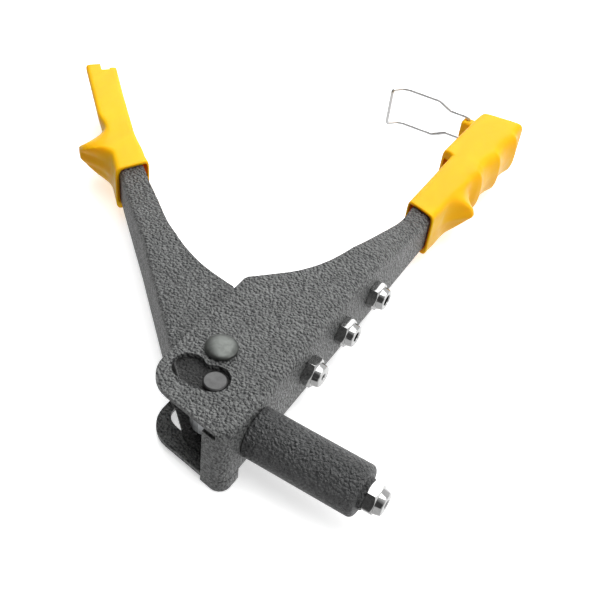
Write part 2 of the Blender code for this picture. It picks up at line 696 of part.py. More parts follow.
def finger_side(t, height, grip):
    """What the finger side adds at a level: guard, swelling, finger hollows and lean."""
    straight = grip.length - END_ROUND
    fade_from, fade_to = FINGERS_END
    raised = smooth(t, *FINGERS_START) * (1 - smooth(t, straight - fade_from, straight - fade_to))
    wave = 0.5 - abs(math.sin(math.pi * (t - WAVE_CREST) / WAVE_PITCH))
    deep, deeper = grip.wave
    adds = guard_height(t, height, grip.guard) + grip.lean * height * smooth(t, *LEAN_START)
    adds += raised * grip.bulge * (1 - abs(height) ** BULGE_POWER)
    return adds + raised * wave * (deep + deeper * abs(height))


def grip_ring(t, shrink, grip):
    """Outer section of a grip: a squared circle, fuller on its finger side."""
    inner = through(grip.inner, t)
    outer = through(grip.outer, t)
    across = (outer - inner) / 2 - shrink
    tall = GRIP_HALF - shrink
    far = ramp(t, grip.length / 2, grip.length - END_ROUND)
    ring = []
    for side, height in squared_circle():
        q = (outer + inner) / 2 + across * side
        q += finger_side(t, height, grip) * smooth(side, 0.0, 0.6)
        ring.append(Vector((q, t + grip.slant * (q - inner) * far, MID_Z + tall * height)))
    return ring


def grip_mesh(grip):
    """Sleeve over a handle's channel: an outer skin and the channel's hollow, open at the mouth."""
    rings = []
    for t in (grip.hollow_end, grip.hollow_end / 2, 12.0, 0.0):
        rings.append(hollow_ring(t, through(grip.hollow, t), GAP, NECK_HALF + GAP))
    straight = grip.length - END_ROUND
    stations = [(0.0, MOUTH_LIP), (0.7, 0.0)]
    marks = [RING_STEP * i for i in range(1, int(straight / RING_STEP) + 1)] + list(grip.marks)
    stations += [(t, 0.0) for t in sorted(marks)]
    stations += [(straight + END_ROUND * sine, END_ROUND * (1 - cosine))
                 for cosine, sine in arc((0, 0), 1.0, 18, 90, 4)]
    rings += [grip_ring(t, shrink, grip) for t, shrink in stations]
    slope, still = MOUTH_SLANT
    for p in (p for ring in rings for p in ring):
        p.y -= slope * (p.x - still) * (1 - ramp(p.y, 0.0, MOUTH_REACH))
    bm = bmesh.new()
    close_rings(bm, [[bm.verts.new(p) for p in ring] for ring in rings])
    bmesh.ops.translate(bm, verts=bm.verts, vec=(grip.web, grip.mouth, 0))
    return bm


def build_grips(mat):
    """Both grips, the latch's lug and pocket on the fixed one and its catch on the moving one."""
    fixed = add_object("fixed_grip", grip_mesh(FIXED_GRIP), (0, 0, MID_Z), mat, 40)
    lug = block(*LUG, MID_Z - LUG_HALF, MID_Z + LUG_HALF)
    edges = [e for e in lug.edges if all(v.co.x < LUG[0][0] + GAP for v in e.verts)
             and abs(e.verts[0].co.z - e.verts[1].co.z) > GAP]
    bmesh.ops.bevel(lug, geom=edges, offset=LUG_ROUND, segments=4, profile=0.5, affect="EDGES")
    cut(fixed, "guide_lug", lug, "UNION")
    hinge = (MID_Z - 2 * LUG_HALF, MID_Z + 2 * LUG_HALF)
    cut(fixed, "cut_latch_hole", rod(hinge, WIRE_R + GAP, "Z", (*LATCH, 0), 20))
    cut(fixed, "cut_latch_pocket", block(*POCKET, MID_Z - POCKET_HALF, MID_Z + POCKET_HALF))

    moving = to_handle(grip_mesh(MOVING_GRIP))
    moving = add_object("moving_grip", moving, (*PIVOT, MID_Z), mat, 40)
    cut(moving, "cut_latch_catch", to_handle(block(*CATCH, *CUT_Z)))
    for side, low, high in (("lower", CUT_Z[0], MID_Z - LEG_RELIEF_FROM),
                            ("upper", MID_Z + LEG_RELIEF_FROM, CUT_Z[1])):
        cut(moving, f"cut_leg_relief_{side}", to_handle(block(*LEG_RELIEF, low, high)))


def build_latch(mat):
    """Wire bail with two legs, a narrow neck and an end bar."""
    lower = [Vector((x, y, MID_Z - h)) for x, y, h in LATCH_PATH]
    upper = [Vector((x, y, MID_Z + h)) for x, y, h in reversed(LATCH_PATH)]
    points = lower + upper
    bm = bmesh.new()
    rings = []
    side = Vector((0, 1, 0))
    for i, p in enumerate(points):
        before = (p - points[i - 1]).normalized() if i else (points[1] - p).normalized()
        after = (points[i + 1] - p).normalized() if i + 1 < len(points) else before
        way = (before + after).normalized()
        side = (side - way * side.dot(way)).normalized()
        other = way.cross(side)
        bend = after - before
        bend = bend.normalized() if bend.length > MERGE else side
        stretch = 1 / before.dot(way) - 1
        ring = []
        for u, v in arc((0, 0), WIRE_R, 0, 360, WIRE_SIDES)[:-1]:
            offset = side * u + other * v
            ring.append(bm.verts.new(p + offset + bend * offset.dot(bend) * stretch))
        rings.append(ring)
    close_rings(bm, rings)
    add_object("wire_latch", bm, (*LATCH, MID_Z), mat, 50)


def main():
    """Builds every piece of the tool."""
    for obj in list(bpy.data.objects):
        bpy.data.objects.remove(obj)
    body_coat = material("body_coat", (0.075, 0.078, 0.08), 0.6, 0.25)
    handle_coat = material("handle_coat", (0.08, 0.083, 0.085), 0.6, 0.25)
    barrel_coat = material("barrel_coat", (0.05, 0.051, 0.053), 0.62, 0.25)
    rivet_steel = material("rivet_steel", (0.42, 0.43, 0.42), 0.38, 0.9)
    pin_steel = material("pin_steel", (0.5, 0.5, 0.5), 0.35, 0.9)
    zinc = material("zinc_steel", (0.55, 0.56, 0.57), 0.4, 0.9)
    chrome = material("nose_chrome", (0.8, 0.8, 0.81), 0.12, 1.0)
    case_steel = material("case_steel", (0.36, 0.37, 0.38), 0.4, 0.9)
    jaw_steel = material("jaw_steel", (0.3, 0.3, 0.31), 0.35, 0.9)
    rod_steel = material("rod_steel", (0.45, 0.46, 0.47), 0.35, 0.9)
    spring_steel = material("spring_steel", (0.5, 0.51, 0.52), 0.3, 0.95)
    wire_steel = material("wire_steel", (0.72, 0.72, 0.72), 0.22, 1.0)
    yellow = material("grip_yellow", (0.95, 0.62, 0.03), 0.42, 0.0)

    build_body(body_coat)
    build_handle(handle_coat)
    build_pivot(rivet_steel, zinc)
    build_pin(pin_steel, zinc)
    build_barrel(barrel_coat, zinc)
    build_nosepiece("nosepiece", NOSE_SEAT + GAP, 0.0, FITTED_BORE, chrome)
    for i, bore in enumerate(SPARE_BORES):
        y = SPARE_FIRST_Y + SPARE_PITCH * i
        build_nosepiece(f"spare_nosepiece_{i + 1}", GAP, y, bore, chrome)
    build_jaw_case(case_steel, jaw_steel, zinc)
    build_rod(rod_steel)
    build_spring("return_spring", RETURN_SPRING, spring_steel)
    build_spring("jaw_spring", JAW_SPRING, spring_steel)
    build_grips(yellow)
    build_latch(wire_steel)


main()
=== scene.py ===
"""Looks for the hand riveter: detailed shells, grips, latch wire, materials, light and camera.

Lengths are millimetres in the tool's own frame: +X along the barrel, +Y along the fixed handle,
+Z up through the thickness, zero where the barrel's axis meets the front web.
"""
import math

import bmesh
import bpy
from mathutils import Matrix, Vector


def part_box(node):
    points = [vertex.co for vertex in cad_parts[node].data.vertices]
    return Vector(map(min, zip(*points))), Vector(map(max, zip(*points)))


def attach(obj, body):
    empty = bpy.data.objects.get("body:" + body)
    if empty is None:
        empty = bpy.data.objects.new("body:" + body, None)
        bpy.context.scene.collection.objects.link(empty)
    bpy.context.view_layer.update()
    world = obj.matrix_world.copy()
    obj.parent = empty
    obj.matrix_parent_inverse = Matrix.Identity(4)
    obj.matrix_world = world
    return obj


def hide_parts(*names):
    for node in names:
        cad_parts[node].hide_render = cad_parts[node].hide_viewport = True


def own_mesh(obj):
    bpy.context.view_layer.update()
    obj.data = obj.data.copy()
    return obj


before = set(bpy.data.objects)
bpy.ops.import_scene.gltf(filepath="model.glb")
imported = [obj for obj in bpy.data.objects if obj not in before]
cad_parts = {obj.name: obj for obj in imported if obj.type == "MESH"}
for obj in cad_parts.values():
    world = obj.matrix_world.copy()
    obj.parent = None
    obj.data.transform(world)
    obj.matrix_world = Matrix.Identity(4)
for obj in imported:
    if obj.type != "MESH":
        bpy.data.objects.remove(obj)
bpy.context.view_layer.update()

MM = 0.001
MID_Z = 15.5
NOSE_SEAT = 47.4
PULL_PIN_X = -18.5
PIVOT = (-25.4, 13.8)
HANDLE_ANGLE = math.radians(138.0)
LATCH = (-20.0, 233.2)

barrel_low, barrel_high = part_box("barrel")
ORIGIN = Vector((barrel_high.x - NOSE_SEAT * MM,
                 (barrel_low.y + barrel_high.y) / 2,
                 (barrel_low.z + barrel_high.z) / 2 - MID_Z * MM))
TO_WORLD = Matrix.Translation(ORIGIN) @ Matrix.Scale(MM, 4)


def lerp(a, b, k):
    """Value between a and b."""
    return a + (b - a) * k


def ramp(value, start, end):
    """0 below start, 1 above end, a straight line between."""
    return min(max((value - start) / (end - start), 0.0), 1.0)


def smooth(value, start, end):
    """0 below start, 1 above end, a smooth S between."""
    k = ramp(value, start, end)
    return k * k * (3.0 - 2.0 * k)


def through(points, value):
    """Height at value of the smooth curve through (position, height) points."""
    for (x0, y0), (x1, y1) in zip(points, points[1:]):
        if value <= x1:
            return lerp(y0, y1, smooth(value, x0, x1))
    return points[-1][1]


def arc(centre, radius, start, end, steps):
    """Points on an arc, angles in degrees."""
    turn = [math.radians(lerp(start, end, i / steps)) for i in range(steps + 1)]
    return [(centre[0] + radius * math.cos(a), centre[1] + radius * math.sin(a)) for a in turn]


# ---------------------------------------------------------------- materials

def map_range(tree, fac, low, high, to_low, to_high):
    """Maps a value from one range to another and holds it inside."""
    made = tree.nodes.new("ShaderNodeMapRange")
    tree.links.new(fac, made.inputs["Value"])
    for key, value in zip(("From Min", "From Max", "To Min", "To Max"),
                          (low, high, to_low, to_high)):
        made.inputs[key].default_value = value
    return made.outputs["Result"]


class Paint:
    """A Principled material and short ways to add texture nodes to it."""

    def __init__(self, name, colour, roughness, metallic, **inputs):
        self.mat = bpy.data.materials.new(name)
        self.mat.use_nodes = True
        self.tree = self.mat.node_tree
        self.shader = self.tree.nodes["Principled BSDF"]
        self.shader.inputs["Base Color"].default_value = (*colour, 1.0)
        self.shader.inputs["Roughness"].default_value = roughness
        self.shader.inputs["Metallic"].default_value = metallic
        for key, value in inputs.items():
            self.shader.inputs[key.replace("_", " ")].default_value = value
        self.place = self.node("ShaderNodeTexCoord").outputs["Object"]
        self.normal = None

    def node(self, kind, **settings):
        made = self.tree.nodes.new(kind)
        for key, value in settings.items():
            setattr(made, key, value)
        return made

    def link(self, source, target):
        self.tree.links.new(source, target)

    def stretched(self, scale):
        """Object coordinates stretched along each axis."""
        mapping = self.node("ShaderNodeMapping")
        mapping.inputs["Scale"].default_value = scale
        self.link(self.place, mapping.inputs["Vector"])
        return mapping.outputs["Vector"]

    def noise(self, size, detail=3.0, rough=0.5, distortion=0.0, where=None):
        """Noise whose features are about size millimetres."""
        made = self.node("ShaderNodeTexNoise")
        self.link(where or self.place, made.inputs["Vector"])
        made.inputs["Scale"].default_value = 1.0 / (size * MM)
        made.inputs["Detail"].default_value = detail
        made.inputs["Roughness"].default_value = rough
        made.inputs["Distortion"].default_value = distortion
        return made.outputs["Fac"]

    def cells(self, size, smoothness, where):
        """Rounded cells about size millimetres across."""
        made = self.node("ShaderNodeTexVoronoi", feature="SMOOTH_F1")
        self.link(where, made.inputs["Vector"])
        made.inputs["Scale"].default_value = 1.0 / (size * MM)
        made.inputs["Smoothness"].default_value = smoothness
        return made.outputs["Distance"]

    def spread(self, fac, low, high, to_low=0.0, to_high=1.0):
        """Map a value from one range to another."""
        return map_range(self.tree, fac, low, high, to_low, to_high)

    def maths(self, kind, operation, *terms):
        """Node that works on its terms; each may be a socket or a plain value."""
        made = self.node(kind, operation=operation)
        for socket, term in zip(made.inputs, terms):
            if isinstance(term, bpy.types.NodeSocket):
                self.link(term, socket)
            else:
                socket.default_value = term
        return made

    def blend(self, fac, first, second):
        """Colour between two colours; either may be a socket."""
        made = self.node("ShaderNodeMix", data_type="RGBA")
        self.link(fac, made.inputs["Factor"])
        for socket, value in ((made.inputs[6], first), (made.inputs[7], second)):
            if isinstance(value, bpy.types.NodeSocket):
                self.link(value, socket)
            else:
                socket.default_value = (*value, 1.0)
        return made.outputs[2]

    def bump(self, height, strength, depth):
        """Adds a bump layer, depth in millimetres."""
        made = self.node("ShaderNodeBump")
        made.inputs["Strength"].default_value = strength
        made.inputs["Distance"].default_value = depth * MM
        self.link(height, made.inputs["Height"])
        if self.normal:
            self.link(self.normal, made.inputs["Normal"])
        self.normal = made.outputs["Normal"]
        self.link(self.normal, self.shader.inputs["Normal"])

    def colour(self, socket):
        self.link(socket, self.shader.inputs["Base Color"])

    def roughness(self, socket):
        self.link(socket, self.shader.inputs["Roughness"])


GRAIN = 1.18
WARP_SIZE = 1.6
WARP_REACH = 1.4
CELL_SMOOTHNESS = 0.25
# Painted shade and highlight of the coat's blisters: the shift towards one fixed light direction and
# the slope range that is mapped from the dark colour to the light one.
PAINTED_LIGHT_STEP = (0.12, 0.22, 0.10)
PAINTED_LIGHT_SLOPE = 0.2


def powder_coat(name, dark, light, shadow=None):
    """Wrinkled powder coat: leathery blisters with sunken creases, painted shade and highlight on
    the blisters, and faint cloudy patches.

    The blisters are warped cells. The difference between two slightly shifted sets of them is
    painted into the colour as shade and highlight falling from one fixed direction. A painted
    shadow is (centre, near, far, low): the coat is low times as bright within near millimetres of
    the centre and fades back to full brightness at far.
    """
    p = Paint(name, light, 0.42, 0.0, Specular_IOR_Level=0.75)
    warp = p.node("ShaderNodeTexNoise")
    p.link(p.place, warp.inputs["Vector"])
    warp.inputs["Scale"].default_value = 1.0 / (GRAIN * WARP_SIZE * MM)
    warp.inputs["Detail"].default_value = 2.0
    warped = p.maths("ShaderNodeVectorMath", "MULTIPLY_ADD", warp.outputs["Color"],
                     (GRAIN * WARP_REACH * MM,) * 3, p.place).outputs["Vector"]
    shifted = p.maths("ShaderNodeVectorMath", "ADD", warped,
                      tuple(GRAIN * v * MM for v in PAINTED_LIGHT_STEP)).outputs["Vector"]
    crease = p.cells(GRAIN, CELL_SMOOTHNESS, warped)
    slope = p.maths("ShaderNodeMath", "SUBTRACT",
                    p.cells(GRAIN, CELL_SMOOTHNESS, shifted), crease).outputs["Value"]
    wrinkle = p.noise(GRAIN * 0.8, 2.0, 0.55, 1.2)
    fine = p.noise(GRAIN * 0.3, 2.0, 0.6)
    cloud = p.noise(14.0, 3.0, 0.55)
    # Painted shade and highlight: the blisters' slope towards one fixed direction, from the dark
    # colour to the light one.
    painted_relief_shade = p.blend(p.spread(slope, -PAINTED_LIGHT_SLOPE, PAINTED_LIGHT_SLOPE), dark, light)
    tone = p.spread(cloud, 0.35, 0.68, 0.84, 1.08)
    if shadow:
        centre, near, far, low = shadow
        flat = p.maths("ShaderNodeVectorMath", "MULTIPLY", p.place, (1.0, 1.0, 0.0))
        middle = (*(TO_WORLD @ Vector((*centre, 0))).xy, 0.0)
        away = p.maths("ShaderNodeVectorMath", "DISTANCE", flat.outputs["Vector"], middle)
        shade = p.spread(away.outputs["Value"], near * MM, far * MM, low, 1.0)
        tone = p.maths("ShaderNodeMath", "MULTIPLY", tone, shade).outputs["Value"]
    toned = p.node("ShaderNodeVectorMath", operation="SCALE")
    p.link(painted_relief_shade, toned.inputs[0])
    p.link(tone, toned.inputs["Scale"])
    p.colour(toned.outputs["Vector"])
    p.roughness(p.spread(wrinkle, 0.38, 0.66, 0.52, 0.34))
    height = p.maths("ShaderNodeMath", "SUBTRACT", p.spread(wrinkle, 0.3, 0.7, 0.0, 0.9),
                     p.spread(crease, 0.1, 0.7, 0.0, 1.0))
    p.bump(height.outputs["Value"], 1.0, 0.58)
    p.bump(fine, 0.4, 0.08)
    return p.mat


def turned_steel(name, dark, light, roughness):
    """Machined steel with fine rings round the X axis and light handling marks."""
    scratch = 0.25
    p = Paint(name, light, roughness, 1.0)
    rings = p.noise(0.16, 2.0, 0.5, 0.0, p.stretched((1.0, 0.04, 0.04)))
    marks = p.noise(2.4, 4.0, 0.6, 0.6)
    p.colour(p.blend(p.spread(marks, 0.34, 0.66), dark, light))
    p.roughness(p.spread(marks, 0.3, 0.7, roughness - 0.06, roughness + 0.10))
    p.bump(rings, scratch, 0.02)
    p.bump(p.noise(0.5, 3.0, 0.6), scratch * 0.6, 0.02)
    return p.mat


def satin_steel(name, dark, light, roughness, metallic=0.85):
    """Tumbled grey steel with a fine even tooth."""
    p = Paint(name, light, roughness, metallic)
    tooth = p.noise(0.28, 3.0, 0.6)
    patch = p.noise(3.0, 3.0, 0.6, 0.4)
    p.colour(p.blend(p.spread(patch, 0.32, 0.7), dark, light))
    p.roughness(p.spread(tooth, 0.3, 0.7, roughness - 0.05, roughness + 0.12))
    p.bump(tooth, 0.28, 0.03)
    return p.mat


def plated(name, colour, roughness):
    """Bright plating with hairline scratches and slight clouding."""
    p = Paint(name, colour, roughness, 1.0)
    hair = p.noise(0.09, 2.0, 0.5, 0.0, p.stretched((1.0, 0.08, 0.5)))
    cloud = p.noise(1.7, 4.0, 0.6)
    low = tuple(v * 0.86 for v in colour)
    p.colour(p.blend(p.spread(cloud, 0.35, 0.65), low, colour))
    p.roughness(p.spread(cloud, 0.3, 0.7, roughness * 0.7, roughness * 1.8))
    p.bump(hair, 0.12, 0.01)
    return p.mat


def grip_plastic(name):
    """Soft satin plastic, slightly see-through at its edges, with faint flow marks."""
    p = Paint(name, (0.84, 0.42, 0.003), 0.42, 0.0, Subsurface_Weight=0.45, Subsurface_Scale=0.006,
              Specular_IOR_Level=0.10)
    p.shader.inputs["Subsurface Radius"].default_value = (1.0, 0.35, 0.06)
    flow = p.noise(16.0, 3.0, 0.5, 0.9, p.stretched((1.0, 0.45, 1.0)))
    tone = p.blend(p.spread(flow, 0.30, 0.72), (0.83, 0.40, 0.003), (0.88, 0.47, 0.003))
    smudge = p.spread(p.noise(6.5, 4.0, 0.62, 0.4), 0.64, 0.76)
    p.colour(p.blend(smudge, tone, (0.84, 0.43, 0.004)))
    p.roughness(p.spread(p.noise(2.6, 3.0, 0.6), 0.3, 0.7, 0.30, 0.46))
    p.bump(p.noise(0.45, 3.0, 0.55), 0.10, 0.05)
    p.bump(p.noise(9.0, 2.0, 0.5), 0.16, 0.25)
    return p.mat


# ---------------------------------------------------------------- pieces

def handle_matrix():
    """From the moving handle's own frame (across, along, up) to the tool's."""
    along = Vector((math.cos(HANDLE_ANGLE), math.sin(HANDLE_ANGLE), 0))
    across = Vector((-along.y, along.x, 0))
    rows = Matrix((across, along, (0, 0, 1))).transposed().to_4x4()
    return Matrix.Translation((*PIVOT, 0)) @ rows


def place(name, bm, mat, body, nodes, crease=None):
    """Turns a mesh in world metres into a piece that stands for CAD nodes."""
    mesh = bpy.data.meshes.new(name)
    bm.to_mesh(mesh)
    bm.free()
    mesh.materials.append(mat)
    mesh.shade_smooth()
    if crease:
        mesh.set_sharp_from_angle(angle=math.radians(crease))
    obj = bpy.data.objects.new(name, mesh)
    bpy.context.scene.collection.objects.link(obj)
    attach(obj, body)
    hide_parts(*nodes)
    return obj


EDGE_RADIUS = 0.28
WELD = 2e-6
FLAT_ANGLE = math.radians(0.4)
EDGE_ANGLE = math.radians(30.0)


def shell(name, node, body, mat):
    """Copy of a CAD node with its long edges broken by a small radius."""
    bm = bmesh.new()
    bm.from_mesh(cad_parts[node].data)
    bmesh.ops.remove_doubles(bm, verts=bm.verts, dist=WELD)
    bmesh.ops.dissolve_limit(bm, angle_limit=FLAT_ANGLE, verts=bm.verts, edges=bm.edges)
    bmesh.ops.dissolve_degenerate(bm, dist=WELD, edges=bm.edges)
    obj = place(name, bm, mat, body, [node])
    bevel = obj.modifiers.new("edge", "BEVEL")
    bevel.width = EDGE_RADIUS * MM
    bevel.segments = 2
    bevel.limit_method = "ANGLE"
    bevel.angle_limit = EDGE_ANGLE
    bevel.miter_outer = "MITER_ARC"
    normals = obj.modifiers.new("normals", "WEIGHTED_NORMAL")
    normals.keep_sharp = False
    normals.weight = 60


def rings_to_mesh(rings):
    """Joins closed rings of points into a closed skin."""
    bm = bmesh.new()
    rows = [[bm.verts.new(p) for p in ring] for ring in rings]
    count = len(rows[0])
    for a, b in zip(rows, rows[1:]):
        for i in range(count):
            j = (i + 1) % count
            bm.faces.new((a[i], a[j], b[j], b[i]))
    bm.faces.new(rows[0])
    bm.faces.new(rows[-1])
    return bm


def turned(profile, steps):
    """Closed (along X, radius) profile spun round the X axis."""
    bm = bmesh.new()
    verts = [bm.verts.new((a, 0, r)) for a, r in profile]
    edges = [bm.edges.new((verts[i - 1], verts[i])) for i in range(len(verts))]
    bmesh.ops.spin(bm, geom=verts + edges, cent=(0, 0, 0), axis=(1, 0, 0), angle=2 * math.pi,
                   steps=steps, use_merge=True)
    bmesh.ops.remove_doubles(bm, verts=bm.verts, dist=1e-4)
    bmesh.ops.recalc_face_normals(bm, faces=bm.faces)
    return bm


def rounded(points, radii):
    """Profile with its corners rounded by arcs of the given radii."""
    steps = 5
    out = []
    count = len(points)
    for i, radius in enumerate(radii):
        p = Vector(points[i])
        if radius <= 0:
            out.append(tuple(p))
            continue
        before = (Vector(points[i - 1]) - p).normalized()
        after = (Vector(points[(i + 1) % count]) - p).normalized()
        half = before.angle(after) / 2
        reach = radius / math.tan(half)
        centre = p + (before + after).normalized() * radius / math.sin(half)
        first = p + before * reach - centre
        sweep = first.angle_signed(p + after * reach - centre)
        for k in range(steps + 1):
            turn = -sweep * k / steps
            c, s = math.cos(turn), math.sin(turn)
            spoke = Vector((first.x * c - first.y * s, first.x * s + first.y * c))
            out.append(tuple(centre + spoke))
    return out


def sweep(points, radius, sides):
    """Round wire through points."""
    rings = []
    side = Vector((0, 1, 0))
    for i, p in enumerate(points):
        before = (p - points[max(i - 1, 0)]).normalized()
        after = (points[min(i + 1, len(points) - 1)] - p).normalized()
        way = (before + after).normalized()
        side = (side - way * side.dot(way)).normalized()
        other = way.cross(side)
        rings.append([p + side * u + other * v for u, v in arc((0, 0), radius, 0, 360, sides)[:-1]])
    return rings_to_mesh(rings)


def fillet_path(points, radius):
    """Path whose inner corners are rounded."""
    steps = 6
    out = [points[0]]
    for before, p, after in zip(points, points[1:], points[2:]):
        back, on = before - p, after - p
        if back.angle(on) > math.radians(178):
            out.append(p)
            continue
        reach = min(radius / math.tan(back.angle(on) / 2), 0.45 * back.length, 0.45 * on.length)
        a, b = p + back.normalized() * reach, p + on.normalized() * reach
        for k in range(steps + 1):
            t = k / steps
            out.append(a * (1 - t) ** 2 + p * 2 * t * (1 - t) + b * t * t)
    return out + [points[-1]]


# ---------------------------------------------------------------- grips

GRIP_HALF = 11.8
CHANNEL_HALF = 9.9
CHANNEL_FRONT = 0.3
CHANNEL_STATIONS = (14.0, 12.0, 9.0, 6.0, 3.0)
SIDES = 80
SQUARE = 7.6
STEP = 0.7
END_ROUND = 1.4
RIM = 0.7
FINGER_BLEND = 0.6
MOUTH_SLOPE = 0.28
MOUTH_MIDDLE = 3.5
MOUTH_REACH = 16.0
GUARD_LEAD_FROM = 0.3
GUARD_DELAY = 4.5
GUARD_RISE = 1.7
GUARD_FALL = 1.6
FINGERS_START = (33, 42)
FINGERS_END = (12, 4)
LEAN_START = (34, 46)
BULGE_POWER = 2.2
WAVE_PITCH = 19.3
WAVE_CREST = 44.4
WAVE_POWER = 0.9


def squared_circle():
    """Directions round a superellipse of half-width 1, bunched at its corners."""
    points = []
    for k in range(SIDES):
        a = 2 * math.pi * (k + 0.5) / SIDES
        c, s = math.cos(a), math.sin(a)
        reach = (abs(c) ** SQUARE + abs(s) ** SQUARE) ** (-1 / SQUARE)
        points.append((c * reach, s * reach))
    return points


def guard_height(t, height, guard):
    """How far the finger guard stands out at a place along the grip and a level up its side."""
    start, tip_from, tip_to, end, stands, leads, upper, lower = guard
    fade, power = upper if height > 0 else lower
    level = min(abs(height) / fade, 1.0)
    lead = leads * ramp(abs(height), GUARD_LEAD_FROM, 1.0)
    if t < tip_from - lead:
        rise = ramp(t, start + GUARD_DELAY * level, tip_from - lead) ** GUARD_RISE
    else:
        rise = (1 - ramp(t, tip_to - lead, end - lead)) ** GUARD_FALL
    return stands * rise * (1 - level ** power)


def finger_side(t, height, spec):
    """What the finger side adds at a level: guard, swelling, finger hollows and lean."""
    straight = spec["length"] - END_ROUND
    fades, gone = (straight - v for v in FINGERS_END)
    raised = smooth(t, *FINGERS_START) * (1 - smooth(t, fades, gone))
    wave = 0.5 - abs(math.sin(math.pi * (t - WAVE_CREST) / WAVE_PITCH)) ** WAVE_POWER
    deep, deeper = spec["wave"]
    adds = guard_height(t, height, spec["guard"])
    adds += spec["lean"] * height * smooth(t, *LEAN_START)
    adds += raised * spec["bulge"] * (1 - abs(height) ** BULGE_POWER)
    return adds + raised * wave * (deep + deeper * abs(height))


def grip_piece(spec):
    """Moulded sleeve: mouth rim, finger guard, finger hollows and a rounded end."""
    rings = []
    outline = squared_circle()
    hollow_end = spec["hollow_end"]
    for t in (hollow_end, hollow_end * 0.66, hollow_end * 0.33, *CHANNEL_STATIONS, RIM):
        low, high = through(spec["hollow"], t), CHANNEL_FRONT
        ring = []
        for side, height in outline:
            if side < 0:
                square = max(abs(side), abs(height))
                side, height = side / square, height / square
            ring.append(Vector(((low + high) / 2 + (high - low) / 2 * side, t,
                                MID_Z + CHANNEL_HALF * height)))
        rings.append(ring)
    straight = spec["length"] - END_ROUND
    plain = [STEP * i for i in range(2, int(straight / STEP) + 1)]
    stations = [(RIM * (1 - math.sin(a)), RIM * (1 - math.cos(a)))
                for a in (math.radians(v) for v in (90, 60, 30, 0))]
    stations += [(t, 0.0) for t in sorted(plain + spec["marks"])]
    stations += [(straight + END_ROUND * s, END_ROUND * (1 - c))
                 for c, s in arc((0, 0), 1.0, 10, 90, 6)]
    for t, shrink in stations:
        inner, outer = through(spec["inner"], t), through(spec["outer"], t)
        across = (outer - inner) / 2 - shrink
        far = ramp(t, spec["length"] / 2, straight)
        ring = []
        for side, height in outline:
            q = (outer + inner) / 2 + across * side
            q += finger_side(t, height, spec) * smooth(side, 0.0, FINGER_BLEND)
            ring.append(Vector((q, t + spec["slant"] * (q - inner) * far,
                                MID_Z + (GRIP_HALF - shrink) * height)))
        rings.append(ring)
    for ring in rings:
        for p in ring:
            p.y -= MOUTH_SLOPE * (p.x + MOUTH_MIDDLE) * (1 - ramp(p.y, 0.0, MOUTH_REACH))
    bm = rings_to_mesh(rings)
    bmesh.ops.translate(bm, verts=bm.verts, vec=(spec["web"], spec["mouth"], 0))
    bmesh.ops.recalc_face_normals(bm, faces=bm.faces)
    return bm


FIXED_GRIP = dict(
    mouth=141.0, length=95.0, web=1.5,
    inner=[(0, -13.5), (30, -13.3), (48.8, -13.3), (51.4, -18.2), (84, -17.3), (100, -16.2)],
    outer=[(0, 1.9), (10, 2.4), (34, 4.0), (90, 6.2), (100, 6.4)],
    hollow=[(0, -12.2), (100, -12.2)], hollow_end=82.0, marks=[49.3, 49.8, 50.2, 50.6, 51.1],
    guard=(10.0, 25.0, 26.5, 37.0, 8.4, 6.0, (0.95, 1.7), (0.88, 1.1)),
    bulge=2.4, wave=(1.3, 0.7), lean=0.0, slant=0.15)
MOVING_GRIP = dict(
    mouth=121.5, length=90.0, web=19.2,
    inner=[(0, -14.2), (8, -13.4), (30, -11.6), (60, -11.6), (90, -12.0)],
    outer=[(0, 2.2), (30, 2.2), (46, 1.9), (90, 1.9)],
    hollow=[(0, -13.2), (12, -9.7), (14, -9.2), (100, -9.2)], hollow_end=77.5, marks=[],
    guard=(8.0, 25.5, 29.5, 41.0, 12.8, 9.0, (1.08, 4.0), (0.92, 1.5)),
    bulge=0.0, wave=(0.0, 0.0), lean=2.4, slant=0.0)


def box_mesh(low, high, edge):
    """Box between two corners with its edges rounded."""
    bm = bmesh.new()
    bmesh.ops.create_cube(bm, size=1.0)
    size = Vector(high) - Vector(low)
    bmesh.ops.scale(bm, verts=bm.verts, vec=size)
    bmesh.ops.translate(bm, verts=bm.verts, vec=(Vector(high) + Vector(low)) / 2)
    bmesh.ops.bevel(bm, geom=bm.edges[:], offset=edge, segments=4, profile=0.5, affect="EDGES")
    return bm


def carve(bm, tool, operation="DIFFERENCE"):
    """Exact boolean of two meshes, applied at once."""
    made = []
    for source in (bm, tool):
        mesh = bpy.data.meshes.new("carve")
        source.to_mesh(mesh)
        source.free()
        obj = bpy.data.objects.new("carve", mesh)
        bpy.context.scene.collection.objects.link(obj)
        made.append(obj)
    mod = made[0].modifiers.new("cut", "BOOLEAN")
    mod.operation = operation
    mod.solver = "EXACT"
    mod.object = made[1]
    graph = bpy.context.evaluated_depsgraph_get()
    out = bmesh.new()
    out.from_mesh(made[0].evaluated_get(graph).to_mesh())
    for obj in made:
        mesh = obj.data
        bpy.data.objects.remove(obj)
        bpy.data.meshes.remove(mesh)
    return out


def rod_mesh(centre, radius, low, high):
    """Upright round bar."""
    sides = 28
    return rings_to_mesh([[Vector((x, y, z)) for x, y in arc(centre, radius, 0, 360, sides)[:-1]]
                          for z in (low, high)])


LUG = ((-23.0, 229.8, 10.1), (-12.0, 236.0, 20.9))
LUG_HOLE = 1.2
BACK_POCKET = ((-15.2, 180.0, 8.5), (-12.2, 199.0, 22.5))
CATCH_FROM = 204.8
CATCH_FLOOR = 10.8
LEG_RECESS_FROM = 205.4
LEG_RECESS_HALF = 8.6
PAST_END = 230
PAST_SIDES = (-10, 45)


